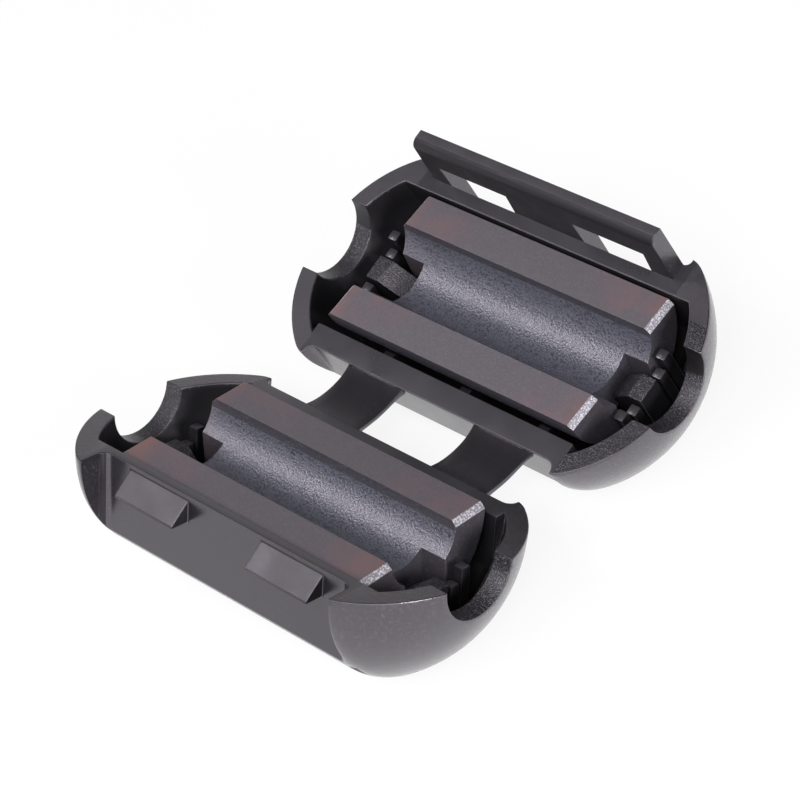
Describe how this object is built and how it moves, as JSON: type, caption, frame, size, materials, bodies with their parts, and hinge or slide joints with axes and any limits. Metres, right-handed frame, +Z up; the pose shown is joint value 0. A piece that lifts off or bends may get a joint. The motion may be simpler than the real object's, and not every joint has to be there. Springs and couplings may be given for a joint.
{
  "type": "clip-on ferrite bead",
  "caption": "Open clip-on ferrite bead: a hinged plastic half-barrel case with a snap latch, holding a split ferrite ring that shuts round a cable to damp noise.",
  "frame": {"origin": "on the ground under the middle of the open part, below the hinge line", "axes": "+X along the cable, +Y from the half with the catch teeth to the half with the latch panel, +Z up"},
  "size_m": [0.04, 0.047, 0.02],
  "materials": {
    "case_plastic": "moulded black nylon, satin",
    "ferrite": "sintered ferrite, ground faces"
  },
  "bodies": {
    "front": {"front_shell": "case_plastic", "hinge_strap_left": "case_plastic", "hinge_strap_right": "case_plastic"},
    "back": {"back_shell": "case_plastic", "latch_panel": "case_plastic"},
    "front_ferrite": {"front_core": "ferrite"},
    "back_ferrite": {"back_core": "ferrite"}
  },
  "joints": [
    {"name": "case_hinge", "type": "hinge", "parent": "front", "child": "back", "pos_m": [0, 0, 0.00683], "axis": [1, 0, 0], "range_deg": [-39, 141], "stiffness_Nm_per_rad": 0.016, "deforming": ["hinge_strap_left", "hinge_strap_right", "latch_panel"]},
    {"name": "front_core_rock", "type": "hinge", "parent": "front", "child": "front_ferrite", "pos_m": [0, -0.01549, 0.01168], "axis": [1, 0, 0], "range_deg": [-7, 1.94]},
    {"name": "back_core_rock", "type": "hinge", "parent": "back", "child": "back_ferrite", "pos_m": [0, 0.01549, 0.01168], "axis": [1, 0, 0], "range_deg": [-1.94, 7]}
  ],
  "couplings": [
    {"joint": "front_core_rock", "follows": "case_hinge", "ratio": -0.049645},
    {"joint": "back_core_rock", "follows": "case_hinge", "ratio": 0.049645}
  ]
}
